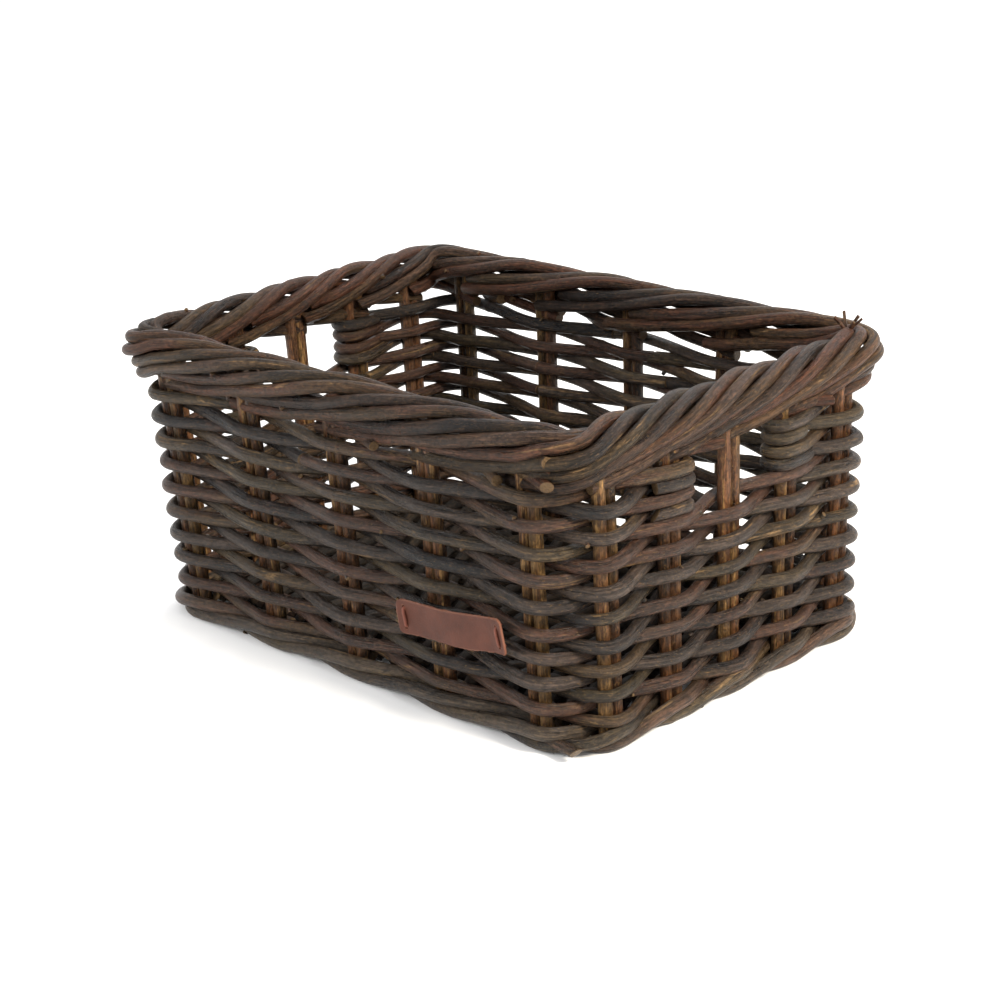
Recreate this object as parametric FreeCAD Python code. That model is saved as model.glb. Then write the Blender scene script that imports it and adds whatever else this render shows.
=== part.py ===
import FreeCAD, Part
import math
import os

# Rectangular rattan basket: pairs of upright stakes, woven rows of single rods, a wale of
# slanting rods round the foot, a rolled border of slanting rods round the rim, a woven base
# and a leather tag sewn to the front wall. Millimetres, +Z up, origin under the middle of the
# basket on the surface it stands on. The long walls lie along X, the short walls along Y.

# --- driving dimensions -----------------------------------------------------------------
RIM_LENGTH = 430.0         # over the border, along X
RIM_WIDTH = 300.0          # over the border, along Y
HEIGHT = 200.0
WALL_LEAN = 0.037          # how far a wall steps out for each millimetre that it rises
ROD = 7.8                  # diameter of a weaving rod
STAKE = 8.4                # diameter of an upright stake
ROWS = 18                  # woven rows from the foot wale to the border
ROW_PITCH = 8.1
HOLE_ROWS = 4              # the top rows, which turn back beside each hand hole
PAIRS_PER_WALL = 5         # stake pairs on each of the four walls
LONG_SPACING = 83.5        # between stake pairs on a long wall
SHORT_SPACING = 54.0       # between stake pairs on a short wall

# --- the wall in section ----------------------------------------------------------------
SWAY = 8.9                 # from the stakes' mid-plane to a rod that passes them
CORNER_SWAY = 3.0          # how far outside the mid-plane a rod rounds a corner
ROD_BEND = 30.0            # bend radius where a rod passes a stake
CORNER_BEND = 18.0         # bend radius where a rod rounds a corner of the basket
PASS_HALF = 5.0            # half the straight stretch of a rod beside a stake pair

# --- the foot wale ----------------------------------------------------------------------
WALE_LOW = ROD / 2         # height of a wale rod's first half
WALE_HIGH = 13.0           # height of its second half
WALE_REACH = 3             # stake spacings that one wale rod covers
WALE_OUTER_CORNER = 10.5   # how far out a wale rod rounds a corner when it stays outside
WALE_TAIL = 7.0            # length of a rod's end past the stake pair it ends behind

# --- the border -------------------------------------------------------------------------
BORDER_RODS = 40
BORDER_REACH = 8           # rod spacings that one border rod covers
BORDER_BEND = 28.0         # corner radius of the border's centre line
BORDER_HALF_WIDTH = 11.7   # from the border's mid-plane to the rods on its two sides
BORDER_STEPS = 16          # runs that one border rod is laid out in
BORDER_CLEARANCE = 0.3     # between the lowest border rods and the top row
STAKE_TOP = 186.0          # the stakes end inside the border
STAKE_FOOT = 0.3

# --- the base ---------------------------------------------------------------------------
BASE_STICKS = 7
BASE_STICK_SPACING = 31.0
BASE_HEIGHT = 12.8         # of the sticks' centre lines
BASE_SWAY = 8.6            # from a stick's centre line to a rod that crosses it
BASE_RODS = 43
BASE_ROD_PITCH = 8.1
BASE_GAP = 1.2             # between the base and the rods of the foot wale
BASE_BEND = 14.0

# --- the leather tag --------------------------------------------------------------------
TAG_LENGTH = 96.0
TAG_HEIGHT = 22.0
TAG_THICKNESS = 2.4
TAG_CORNER = 3.0
TAG_X = 108.0
TAG_Z = 67.5
TAG_TILT = 6.8             # degrees, the end nearer the corner is the higher one
TAG_STANDOFF = 0.3         # behind the tag, clear of the outermost rods
STITCH_HOLE = 2.6
STITCH_INSET = 6.0         # from the tag's end to its two holes
STITCH_REACH = 6.5         # from the tag's middle up or down to a hole
THONG = 2.2
THONG_DEPTH = 0.2          # how far the thong's ends reach past the tag's back
THONG_BEND = 1.8

# --- worked out -------------------------------------------------------------------------
ROD_RADIUS = ROD / 2
ROW_ONE = WALE_HIGH + ROD_RADIUS + 0.2 + ROD_RADIUS
BORDER_LOW = ROW_ONE + (ROWS - 1) * ROW_PITCH + ROD + BORDER_CLEARANCE
BORDER_TOP = HEIGHT - ROD_RADIUS
BORDER_HALF_X = RIM_LENGTH / 2 - BORDER_HALF_WIDTH - ROD_RADIUS
BORDER_HALF_Y = RIM_WIDTH / 2 - BORDER_HALF_WIDTH - ROD_RADIUS
BORDER_SPRING = BORDER_TOP - BORDER_HALF_WIDTH
LEAN_HEIGHT = (BORDER_LOW + BORDER_TOP) / 2
PAIRS = 4 * PAIRS_PER_WALL
MIDDLE = (PAIRS_PER_WALL - 1) // 2
END_GAP = 1.5              # from a stake pair's middle to the butt end of a rod behind it

# Walls in order round the basket, seen from above: front, right, back, left.
# Each has the direction a rod runs along it and the direction that faces outwards.
WALLS = [((1, 0), (0, -1)), ((0, 1), (1, 0)), ((-1, 0), (0, 1)), ((0, -1), (-1, 0))]


def half_sizes(z):
    """Half length and half width of the stakes' mid-plane at height z."""
    step = WALL_LEAN * (LEAN_HEIGHT - z)
    return BORDER_HALF_X - step, BORDER_HALF_Y - step


def wall_point(pair, offset, z, along=0.0):
    """A point beside a stake pair: offset outwards, and along the wall past its middle."""
    wall, place = divmod(pair % PAIRS, PAIRS_PER_WALL)
    run, out = WALLS[wall]
    half_x, half_y = half_sizes(z)
    if wall % 2 == 0:
        spacing, side = LONG_SPACING * half_x / BORDER_HALF_X, half_y
    else:
        spacing, side = SHORT_SPACING * half_y / BORDER_HALF_Y, half_x
    distance = (place - MIDDLE) * spacing + along
    x = run[0] * distance + out[0] * (side + offset)
    y = run[1] * distance + out[1] * (side + offset)
    return FreeCAD.Vector(x, y, z)


def corner_point(wall, offset, z):
    """The square corner at the end of a wall, moved outwards by offset."""
    sign_x = 1 if wall % 4 in (0, 1) else -1
    sign_y = 1 if wall % 4 in (1, 2) else -1
    half_x, half_y = half_sizes(z)
    return FreeCAD.Vector(sign_x * (half_x + offset), sign_y * (half_y + offset), z)


def rod(points, radii, diameter):
    """A round rod along straight runs with a tangent arc at every inner point."""
    path = [points[0]]
    bends = [0.0]
    for i in range(1, len(points) - 1):
        turn = (points[i] - path[-1]).getAngle(points[i + 1] - points[i])
        if turn > 0.004:
            path.append(points[i])
            bends.append(radii[i] * math.tan(turn / 2))
    path.append(points[-1])
    bends.append(0.0)
    shrink = [1.0] * len(path)
    for i in range(len(path) - 1):
        room = 0.96 * path[i].distanceToPoint(path[i + 1])
        if bends[i] + bends[i + 1] > room:
            scale = room / (bends[i] + bends[i + 1])
            shrink[i] = min(shrink[i], scale)
            shrink[i + 1] = min(shrink[i + 1], scale)
    edges = []
    here = path[0]
    for i in range(1, len(path) - 1):
        before = (path[i] - path[i - 1]).normalize()
        after = (path[i + 1] - path[i]).normalize()
        reach = bends[i] * shrink[i]
        radius = reach / math.tan(before.getAngle(after) / 2)
        start = path[i] - before * reach
        end = path[i] + after * reach
        inward = (after - before).normalize()
        centre_distance = math.hypot(radius, reach)
        middle = path[i] + inward * (centre_distance - radius)
        edges.append(Part.LineSegment(here, start).toShape())
        edges.append(Part.Arc(start, middle, end).toShape())
        here = end
    edges.append(Part.LineSegment(here, path[-1]).toShape())
    face = Part.Face(Part.Wire([Part.makeCircle(diameter / 2, path[0], path[1] - path[0])]))
    return Part.Wire(edges).makePipe(face)


def outside(row, pair):
    """+1 where a row passes outside a stake pair, and -1 where it passes inside."""
    return 1 if (row + pair) % 2 else -1


def pass_pair(pair, offset, z):
    """The two points of a rod's straight stretch beside a stake pair."""
    return [wall_point(pair, offset, z, -PASS_HALF), wall_point(pair, offset, z, PASS_HALF)]


def woven_run(row, first, last, z):
    """Points and bend radii of a row from one pair to another, both included."""
    points, radii = [], []
    for pair in range(first, last + 1):
        points += pass_pair(pair, SWAY * outside(row, pair), z)
        radii += [ROD_BEND, ROD_BEND]
        if pair < last and pair % PAIRS_PER_WALL == PAIRS_PER_WALL - 1:
            points.append(corner_point(pair // PAIRS_PER_WALL, CORNER_SWAY, z))
            radii.append(CORNER_BEND)
    return points, radii


def row_height(row):
    return ROW_ONE + row * ROW_PITCH


def full_row(row):
    """One rod all the way round, with its two ends meeting behind a stake pair."""
    z = row_height(row)
    first = (row * 3) % PAIRS
    if outside(row, first) > 0:
        first += 1
    points, radii = woven_run(row, first, first + PAIRS, z)
    points[0] = wall_point(first, -SWAY, z, END_GAP)
    points[-1] = wall_point(first, -SWAY, z, -END_GAP)
    return rod(points, radii, ROD)


def turned_back_row(row, first, last):
    """A row that stops at the hand holes: each end is hooked round its last stake pair."""
    z = row_height(row)
    points, radii = woven_run(row, first, last, z)
    turn = STAKE / 2 + SWAY
    for pair, way in ((first, -1), (last, 1)):
        side = SWAY * outside(row, pair)
        hook = [wall_point(pair, side, z, way * turn), wall_point(pair, -side, z, way * turn),
                wall_point(pair, -side, z, -way * (STAKE / 2 + 3))]
        if way < 0:
            points = hook[::-1] + points[1:]
            radii = [SWAY, SWAY, SWAY] + radii[1:]
        else:
            points = points[:-1] + hook
            radii = radii[:-1] + [SWAY, SWAY, SWAY]
    return rod(points, radii, ROD)


def stake_pair(pair):
    """Two upright stakes side by side, from the foot up into the border."""
    stakes = []
    for along in (-STAKE / 2, STAKE / 2):
        foot = wall_point(pair, 0, STAKE_FOOT, along * 1.02)
        top = wall_point(pair, 0, STAKE_TOP, along * 1.02)
        axis = top - foot
        stakes.append(Part.makeCylinder(STAKE / 2, axis.Length, foot, axis))
    return stakes


def wale_rod(pair):
    """From behind one pair, past the outside of two pairs while it rises, to behind a fourth."""
    last = pair + WALE_REACH
    stops = [(pair, -SWAY, WALE_LOW), (pair + 1, SWAY, WALE_LOW),
             (pair + 2, SWAY, WALE_HIGH), (last, -SWAY, WALE_HIGH)]
    points, radii = [], []
    for i, (place, offset, z) in enumerate(stops):
        points += pass_pair(place, offset, z)
        radii += [ROD_BEND, ROD_BEND]
        if i < len(stops) - 1 and place % PAIRS_PER_WALL == PAIRS_PER_WALL - 1:
            following = stops[i + 1]
            stays_out = offset > 0 and following[1] > 0
            corner_offset = WALE_OUTER_CORNER if stays_out else 0.0
            corner_z = (z + following[2]) / 2
            points.append(corner_point(place // PAIRS_PER_WALL, corner_offset, corner_z))
            radii.append(CORNER_BEND)
    points[0] = wall_point(pair, -SWAY, WALE_LOW, -WALE_TAIL)
    points[-1] = wall_point(last, -SWAY, WALE_HIGH, WALE_TAIL)
    return rod(points, radii, ROD)


def border_line(distance):
    """Plan position and outward direction on the border's centre line, a rounded rectangle."""
    straight_x = 2 * (BORDER_HALF_X - BORDER_BEND)
    straight_y = 2 * (BORDER_HALF_Y - BORDER_BEND)
    quarter = BORDER_BEND * math.pi / 2
    left = distance % (2 * (straight_x + straight_y) + 4 * quarter)
    wall = 0
    while True:
        straight = straight_x if wall % 2 == 0 else straight_y
        side = BORDER_HALF_Y if wall % 2 == 0 else BORDER_HALF_X
        run = FreeCAD.Vector(*WALLS[wall][0], 0)
        out = FreeCAD.Vector(*WALLS[wall][1], 0)
        if left <= straight:
            return run * (left - straight / 2) + out * side, out
        left -= straight
        if left <= quarter:
            angle = left / BORDER_BEND
            heading = out * math.cos(angle) + run * math.sin(angle)
            centre = run * (straight / 2) + out * (side - BORDER_BEND)
            return centre + heading * BORDER_BEND, heading
        left -= quarter
        wall += 1


def border_length():
    return 4 * (BORDER_HALF_X + BORDER_HALF_Y) - 8 * BORDER_BEND + 2 * math.pi * BORDER_BEND


def border_section(share):
    """Offset and height for a share of the way up the outside, over the top and down inside."""
    side = BORDER_SPRING - BORDER_LOW
    arch = math.pi * BORDER_HALF_WIDTH
    way = share * (2 * side + arch)
    if way <= side:
        return BORDER_HALF_WIDTH, BORDER_LOW + way
    if way >= side + arch:
        return -BORDER_HALF_WIDTH, BORDER_SPRING - (way - side - arch)
    angle = (way - side) / BORDER_HALF_WIDTH
    return BORDER_HALF_WIDTH * math.cos(angle), BORDER_SPRING + BORDER_HALF_WIDTH * math.sin(angle)


def border_rod(number):
    """Starts low outside the rim, climbs over it and ends low inside."""
    spacing = border_length() / BORDER_RODS
    points = []
    for i in range(BORDER_STEPS + 1):
        share = i / BORDER_STEPS
        place, out = border_line((number + share * BORDER_REACH) * spacing)
        offset, z = border_section(share)
        points.append(FreeCAD.Vector(place.x, place.y, z) + out * offset)
    return rod(points, [ROD_BEND] * len(points), ROD)


def base_stick(number):
    half_x, _ = half_sizes(BASE_HEIGHT)
    half = half_x - SWAY - ROD_RADIUS - BASE_GAP
    y = (number - (BASE_STICKS - 1) / 2) * BASE_STICK_SPACING
    start = FreeCAD.Vector(-half, y, BASE_HEIGHT)
    return Part.makeCylinder(STAKE / 2, 2 * half, start, FreeCAD.Vector(1, 0, 0))


def base_rod(number):
    """Crosses the base, over one stick and under the next."""
    _, half_y = half_sizes(BASE_HEIGHT)
    end = half_y - SWAY - ROD_RADIUS - BASE_GAP
    x = (number - (BASE_RODS - 1) / 2) * BASE_ROD_PITCH
    middle = (BASE_STICKS - 1) / 2
    points = []
    for stick in range(BASE_STICKS):
        y = (stick - middle) * BASE_STICK_SPACING
        side = 1 if (stick + number) % 2 else -1
        z = BASE_HEIGHT + side * BASE_SWAY
        flat = STAKE / 4
        points += [FreeCAD.Vector(x, y - flat, z), FreeCAD.Vector(x, y + flat, z)]
    points[0].y = -end
    points[-1].y = end
    return rod(points, [BASE_BEND] * len(points), ROD)


def front_face_point(x, offset, z):
    _, half_y = half_sizes(z)
    return FreeCAD.Vector(x, -(half_y + offset), z)


def tag_frame():
    """Place, long direction, upward direction and outward direction of the tag's back."""
    place = front_face_point(TAG_X, SWAY + ROD_RADIUS + TAG_STANDOFF, TAG_Z)
    slope = FreeCAD.Vector(0, -WALL_LEAN, 1).normalize()
    out = FreeCAD.Vector(1, 0, 0).cross(slope)
    tilt = math.radians(TAG_TILT)
    along = FreeCAD.Vector(1, 0, 0) * math.cos(tilt) + slope * math.sin(tilt)
    return place, along, out.cross(along), out


def leather_tag():
    place, along, up, out = tag_frame()
    matrix = FreeCAD.Matrix(along.x, up.x, out.x, place.x, along.y, up.y, out.y, place.y,
                            along.z, up.z, out.z, place.z, 0, 0, 0, 1)
    plate = Part.makeBox(TAG_LENGTH, TAG_HEIGHT, TAG_THICKNESS,
                         FreeCAD.Vector(-TAG_LENGTH / 2, -TAG_HEIGHT / 2, 0))
    upright = [e for e in plate.Edges if abs(e.tangentAt(e.FirstParameter).z) > 0.9]
    plate = plate.makeFillet(TAG_CORNER, upright)
    for x in (-TAG_LENGTH / 2 + STITCH_INSET, TAG_LENGTH / 2 - STITCH_INSET):
        for y in (-STITCH_REACH, STITCH_REACH):
            hole = Part.makeCylinder(STITCH_HOLE / 2, 3 * TAG_THICKNESS,
                                     FreeCAD.Vector(x, y, -TAG_THICKNESS))
            plate = plate.cut(hole)
    plate.transformShape(matrix, True)
    return plate


def thong(way):
    """A thong over the tag from hole to hole, its two ends tucked in behind it."""
    place, along, up, out = tag_frame()
    middle = place + along * (way * (TAG_LENGTH / 2 - STITCH_INSET))
    proud = TAG_THICKNESS + THONG / 2
    points = [middle + up * (STITCH_REACH * side) + out * depth
              for side, depth in ((-1, -THONG_DEPTH), (-1, proud), (1, proud), (1, -THONG_DEPTH))]
    return rod(points, [THONG_BEND] * len(points), THONG)


def build():
    nodes = {}
    wall_names = ("front", "right", "back", "left")
    for pair in range(PAIRS):
        wall, place = divmod(pair, PAIRS_PER_WALL)
        nodes["stakes_%s_%d" % (wall_names[wall], place + 1)] = stake_pair(pair)
    for row in range(ROWS - HOLE_ROWS):
        nodes["row_%02d" % (row + 1)] = [full_row(row)]
    right_hook = PAIRS_PER_WALL + MIDDLE
    left_hook = 3 * PAIRS_PER_WALL + MIDDLE
    for row in range(ROWS - HOLE_ROWS, ROWS):
        front = turned_back_row(row, left_hook + 1 - PAIRS, right_hook - 1)
        back = turned_back_row(row, right_hook + 1, left_hook - 1)
        nodes["row_%02d_front" % (row + 1)] = [front]
        nodes["row_%02d_back" % (row + 1)] = [back]
    for wall, name in enumerate(wall_names):
        first = wall * PAIRS_PER_WALL
        nodes["foot_wale_" + name] = [wale_rod(first + i - 1) for i in range(PAIRS_PER_WALL)]
        share = BORDER_RODS // 4
        nodes["border_" + name] = [border_rod(wall * share + i) for i in range(share)]
    nodes["base_sticks"] = [base_stick(i) for i in range(BASE_STICKS)]
    nodes["base_rods_odd"] = [base_rod(i) for i in range(0, BASE_RODS, 2)]
    nodes["base_rods_even"] = [base_rod(i) for i in range(1, BASE_RODS, 2)]
    nodes["leather_tag"] = [leather_tag()]
    nodes["tag_thong_left"] = [thong(-1)]
    nodes["tag_thong_right"] = [thong(1)]
    return nodes


os.makedirs("parts", exist_ok=True)
for node, solids in build().items():
    shape = solids[0] if len(solids) == 1 else Part.makeCompound(solids)
    shape.exportStep("parts/%s.step" % node)
    box = shape.BoundBox
    print("%-20s solids %2d valid %s volume %9.1f z %.1f to %.1f"
          % (node, len(shape.Solids), shape.isValid(), shape.Volume, box.ZMin, box.ZMax))
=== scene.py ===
import math

import bpy
import numpy as np
from mathutils import Matrix, Vector, noise


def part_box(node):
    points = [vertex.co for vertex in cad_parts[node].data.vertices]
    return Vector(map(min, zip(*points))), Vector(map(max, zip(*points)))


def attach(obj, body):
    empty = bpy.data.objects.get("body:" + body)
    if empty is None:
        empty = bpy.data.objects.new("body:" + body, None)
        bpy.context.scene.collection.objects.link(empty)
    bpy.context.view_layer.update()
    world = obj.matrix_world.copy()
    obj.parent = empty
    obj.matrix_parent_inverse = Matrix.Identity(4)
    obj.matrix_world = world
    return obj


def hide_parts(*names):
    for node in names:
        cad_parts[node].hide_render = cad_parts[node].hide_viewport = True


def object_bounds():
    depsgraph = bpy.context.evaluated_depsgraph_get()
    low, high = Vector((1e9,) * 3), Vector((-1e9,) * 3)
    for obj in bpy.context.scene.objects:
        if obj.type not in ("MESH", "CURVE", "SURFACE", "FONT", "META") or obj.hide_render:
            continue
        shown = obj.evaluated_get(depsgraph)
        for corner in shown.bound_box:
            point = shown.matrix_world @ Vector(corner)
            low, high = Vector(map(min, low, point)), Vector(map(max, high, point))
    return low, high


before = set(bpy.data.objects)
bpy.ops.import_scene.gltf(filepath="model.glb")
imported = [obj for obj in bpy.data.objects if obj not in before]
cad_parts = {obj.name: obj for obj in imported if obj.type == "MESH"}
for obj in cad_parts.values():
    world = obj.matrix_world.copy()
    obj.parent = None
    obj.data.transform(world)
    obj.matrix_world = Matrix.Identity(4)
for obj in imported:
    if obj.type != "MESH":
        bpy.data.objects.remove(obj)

# A rectangular rattan basket. Every CAD node is replaced by one piece of the same name, made of
# rods that follow the same weave. Lengths are in millimetres until a mesh is made.

cad_low, cad_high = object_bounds()
MM = 0.001

# --- the weave, as the CAD part has it --------------------------------------------------
ROD = 7.8                  # diameter of a weaving rod
STAKE = 8.4                # diameter of an upright stake
PAIRS_PER_WALL = 5
PAIRS = 4 * PAIRS_PER_WALL
MIDDLE = 2                 # place of the pair in the middle of a wall
FULL_ROWS = 14             # rows that go all the way round
ALL_ROWS = 18
BORDER_HALF_WIDTH = 11.7   # from the border's mid-plane to the rods on its two sides
WALL_NAMES = ("front", "right", "back", "left")
RUN = (np.array((1.0, 0, 0)), np.array((0, 1.0, 0)), np.array((-1.0, 0, 0)), np.array((0, -1.0, 0)))
OUT = (np.array((0, -1.0, 0)), np.array((1.0, 0, 0)), np.array((0, 1.0, 0)), np.array((-1.0, 0, 0)))
UP = np.array((0, 0, 1.0))

# --- how the rods lie here ----------------------------------------------------------------
SWAY = 8.25                # from the stakes' mid-plane to a rod that presses on them
PASS_HALF = 4.0            # half the stretch that lies against a stake pair
STEP = 2.6                 # between the rings of a tube
SIDES = 14                 # faces round a tube
CORNER_HANDLE = 0.5        # how squarely a rod rounds a corner of the basket
FINE_STEP = 1.3            # between points while a line is being smoothed
FLOOR_GAP = 0.1            # nothing reaches lower than this above the floor
ROW_SMOOTHING = 2.7        # reach of the blur on a full row
HOOK_CLEARANCE = 2.0       # between a turned rod and the stake that it hooks round


def box_mm(node):
    low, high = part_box(node)
    return np.array(low) / MM, np.array(high) / MM


# --- the walls, read from the stakes' boxes -----------------------------------------------
_low, _high = box_mm("stakes_front_3")
FOOT_Z, TOP_Z = _low[2], _high[2]
FOOT_HALF_Y, TOP_HALF_Y = -(_high[1] - STAKE / 2), -(_low[1] + STAKE / 2)
_low, _high = box_mm("stakes_right_3")
FOOT_HALF_X, TOP_HALF_X = _low[0] + STAKE / 2, _high[0] - STAKE / 2
_low, _high = box_mm("stakes_front_4")
SHARE_X = (_low[0] + _high[0]) / (FOOT_HALF_X + TOP_HALF_X)
_low, _high = box_mm("stakes_right_4")
SHARE_Y = (_low[1] + _high[1]) / (FOOT_HALF_Y + TOP_HALF_Y)


def half_sizes(z):
    share = (z - FOOT_Z) / (TOP_Z - FOOT_Z)
    half_x = FOOT_HALF_X + (TOP_HALF_X - FOOT_HALF_X) * share
    half_y = FOOT_HALF_Y + (TOP_HALF_Y - FOOT_HALF_Y) * share
    return half_x, half_y


def pair_place(pair):
    return divmod(pair % PAIRS, PAIRS_PER_WALL)


def along_wall(pair, z):
    """How far along its wall a stake pair stands, from the wall's middle."""
    wall, place = pair_place(pair)
    half_x, half_y = half_sizes(z)
    spacing = SHARE_X * half_x if wall % 2 == 0 else SHARE_Y * half_y
    return (place - MIDDLE) * spacing


def wall_spot(wall, along, offset, z):
    half_x, half_y = half_sizes(z)
    side = half_y if wall % 2 == 0 else half_x
    return RUN[wall] * along + OUT[wall] * (side + offset) + UP * z


def spot(pair, offset, z, along=0.0):
    """A point beside a stake pair."""
    wall, _ = pair_place(pair)
    return wall_spot(wall, along_wall(pair, z) + along, offset, z)


def wobble(point, size, seed):
    """Slow smooth noise between about -1 and 1."""
    return 1.6 * noise.noise(Vector((point[0] / size, point[1] / size, point[2] / size + seed)))


# --- tubes ----------------------------------------------------------------------------------
def resample(points, step=STEP):
    points = np.array(points, float)
    lengths = np.linalg.norm(np.diff(points, axis=0), axis=1)
    keep = np.concatenate([[True], lengths > 1e-6])
    points = points[keep]
    lengths = np.linalg.norm(np.diff(points, axis=0), axis=1)
    at = np.concatenate([[0.0], np.cumsum(lengths)])
    count = max(3, int(round(at[-1] / step)) + 1)
    want = np.linspace(0, at[-1], count)
    return np.stack([np.interp(want, at, points[:, k]) for k in range(3)], axis=1)


def smoothed(points, reach):
    """Points blurred along their line over a reach in millimetres, with the two ends kept."""
    points = resample(points, FINE_STEP)
    spread = max(1.0, reach / FINE_STEP)
    half = int(3 * spread)
    weights = np.exp(-0.5 * (np.arange(-half, half + 1) / spread) ** 2)
    weights /= weights.sum()
    before = 2 * points[0] - points[1:half + 1][::-1]
    after = 2 * points[-1] - points[-half - 1:-1][::-1]
    if len(before) < half or len(after) < half:
        return resample(points)
    padded = np.vstack([before, points, after])
    blurred = np.stack([np.convolve(padded[:, k], weights, "valid") for k in range(3)], axis=1)
    return resample(blurred)


class Tubes:
    """Collects tubes and makes them one mesh, with their own straightened coordinates."""

    def __init__(self):
        self.points, self.faces, self.straight, self.tone, self.mark = [], [], [], [], []
        self.count = 0

    def add_block(self, points, faces, straight, tone, mark):
        self.faces.append(faces + self.count)
        self.points.append(points)
        self.straight.append(straight)
        self.tone.append(np.tile(tone, (len(points), 1)))
        self.mark.append(mark)
        self.count += len(points)

    def add(self, line, diameter, rng, tone, taper=0.06, knuckles=True, knobbly=1.0, sides=SIDES,
            slant=0.25, pointed=False, fresh=0.25):
        """A rod along a line. Its ends are cut a little slantwise, and are pale where fresh."""
        line = np.asarray(line, float)
        count = len(line)
        tangent = np.gradient(line, axis=0)
        tangent /= np.linalg.norm(tangent, axis=1)[:, None]
        side = np.zeros_like(line)
        first = np.cross(tangent[0], UP if abs(tangent[0][2]) < 0.9 else OUT[0])
        side[0] = first / np.linalg.norm(first)
        for i in range(1, count):
            turned = side[i - 1] - tangent[i] * side[i - 1].dot(tangent[i])
            side[i] = turned / np.linalg.norm(turned)
        other = np.cross(tangent, side)
        step = np.linalg.norm(np.diff(line, axis=0), axis=1)
        at = np.concatenate([[0.0], np.cumsum(step)])
        length = at[-1]
        share = at / length
        way = 1 if rng.random() < 0.5 else -1
        radius = diameter / 2 * (1 + way * taper * (share - 0.5))
        seed = rng.uniform(0, 900)
        radius *= 1 + 0.04 * knobbly * np.array([wobble((s, 0, 0), 30, seed) for s in at])
        knuckle = np.zeros(count)
        if knuckles:
            place = rng.uniform(20, 240)
            while place < length:
                distance = at - place
                ring = np.exp(-(distance / rng.uniform(1.8, 3.2)) ** 2)
                radius *= 1 + rng.uniform(0.02, 0.12) * ring
                knuckle = np.maximum(knuckle, ring * rng.uniform(0.3, 1.0))
                place += rng.uniform(110, 330)
        if pointed:
            radius *= np.clip(1.05 - share, 0.12, 1.0) ** 0.6
        angle = np.arange(sides) * 2 * math.pi / sides
        phase = rng.uniform(0, 2 * math.pi)
        flat = 1 + rng.uniform(0.0, 0.05) * np.cos(2 * (angle[None, :] + phase + at[:, None] / 90))
        ring_radius = radius[:, None] * flat
        cos, sin = np.cos(angle)[None, :, None], np.sin(angle)[None, :, None]
        rings = line[:, None, :] + ring_radius[..., None] * (cos * side[:, None] + sin * other[:, None])
        for end in (0, -1):
            lean = slant * rng.uniform(-1, 1) * np.cos(angle + rng.uniform(0, 6))
            rings[end] += tangent[end] * (lean * diameter / 2)[:, None]
        offset = rng.uniform(0, 40000)
        straight = np.empty((count, sides, 3))
        straight[..., 0] = at[:, None] + offset
        straight[..., 1] = ring_radius * np.cos(angle)
        straight[..., 2] = ring_radius * np.sin(angle)
        mark = np.zeros((count, sides, 4))
        mark[..., 0] = knuckle[:, None]
        mark[..., 3] = 1
        i = np.arange(count - 1)[:, None]
        j = np.arange(sides)[None, :]
        k = (j + 1) % sides
        faces = np.stack([i * sides + j, i * sides + k, (i + 1) * sides + k, (i + 1) * sides + j], axis=-1)
        self.add_block(rings.reshape(-1, 3), faces.reshape(-1, 4), straight.reshape(-1, 3), tone,
                       mark.reshape(-1, 4))
        for end, way_out in ((0, -1), (-1, 1)):
            self.add_cap(rings[end], tangent[end] * way_out, straight[end], tone, way_out < 0, fresh)

    def add_cap(self, ring, outwards, straight, tone, backwards, fresh):
        """The cut end of a rod: a small chamfer, then rings in to the middle."""
        sides = len(ring)
        middle = ring.mean(axis=0)
        layers = [ring]
        for shrink, rise in ((0.93, 0.35), (0.6, 0.42), (0.25, 0.42), (0.02, 0.42)):
            layers.append(middle + (ring - middle) * shrink + outwards * rise)
        points = np.vstack(layers)
        flat = np.vstack([straight * (1, s, s) for s in (1, 0.93, 0.6, 0.25, 0.02)])
        i = np.arange(len(layers) - 1)[:, None]
        j = np.arange(sides)[None, :]
        k = (j + 1) % sides
        quad = np.stack([i * sides + j, i * sides + k, (i + 1) * sides + k, (i + 1) * sides + j], axis=-1)
        quad = quad.reshape(-1, 4)
        if backwards:
            quad = quad[:, ::-1]
        mark = np.zeros((len(points), 4))
        mark[sides:, 1] = 1
        mark[:, 2] = fresh
        mark[:, 3] = 1
        self.add_block(points, quad, flat, tone, mark)

    def make(self, name, material, slot, *nodes):
        points = np.vstack(self.points) * MM
        points[:, 2] = np.maximum(points[:, 2], FLOOR_GAP * MM)
        faces = np.vstack(self.faces)
        mesh = bpy.data.meshes.new(name)
        mesh.vertices.add(len(points))
        mesh.vertices.foreach_set("co", points.astype(np.float32).ravel())
        mesh.loops.add(faces.size)
        mesh.loops.foreach_set("vertex_index", faces.astype(np.int32).ravel())
        mesh.polygons.add(len(faces))
        mesh.polygons.foreach_set("loop_start", np.arange(0, faces.size, 4, dtype=np.int32))
        mesh.polygons.foreach_set("use_smooth", np.ones(len(faces), bool))
        mesh.update(calc_edges=True)
        straight = mesh.attributes.new("straight", "FLOAT_VECTOR", "POINT")
        straight.data.foreach_set("vector", (np.vstack(self.straight) * MM).astype(np.float32).ravel())
        for key, values in (("tone", self.tone), ("mark", self.mark)):
            layer = mesh.attributes.new(key, "FLOAT_COLOR", "POINT")
            layer.data.foreach_set("color", np.vstack(values).astype(np.float32).ravel())
        mesh.validate()
        return finished(name, mesh, material, slot, *nodes)


def finished(name, mesh, material, slot, *nodes):
    piece = bpy.data.objects.new(name, mesh)
    bpy.context.scene.collection.objects.link(piece)
    mesh.materials.append(material)
    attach(piece, "root")
    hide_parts(*(nodes or (name,)))
    return piece


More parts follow.
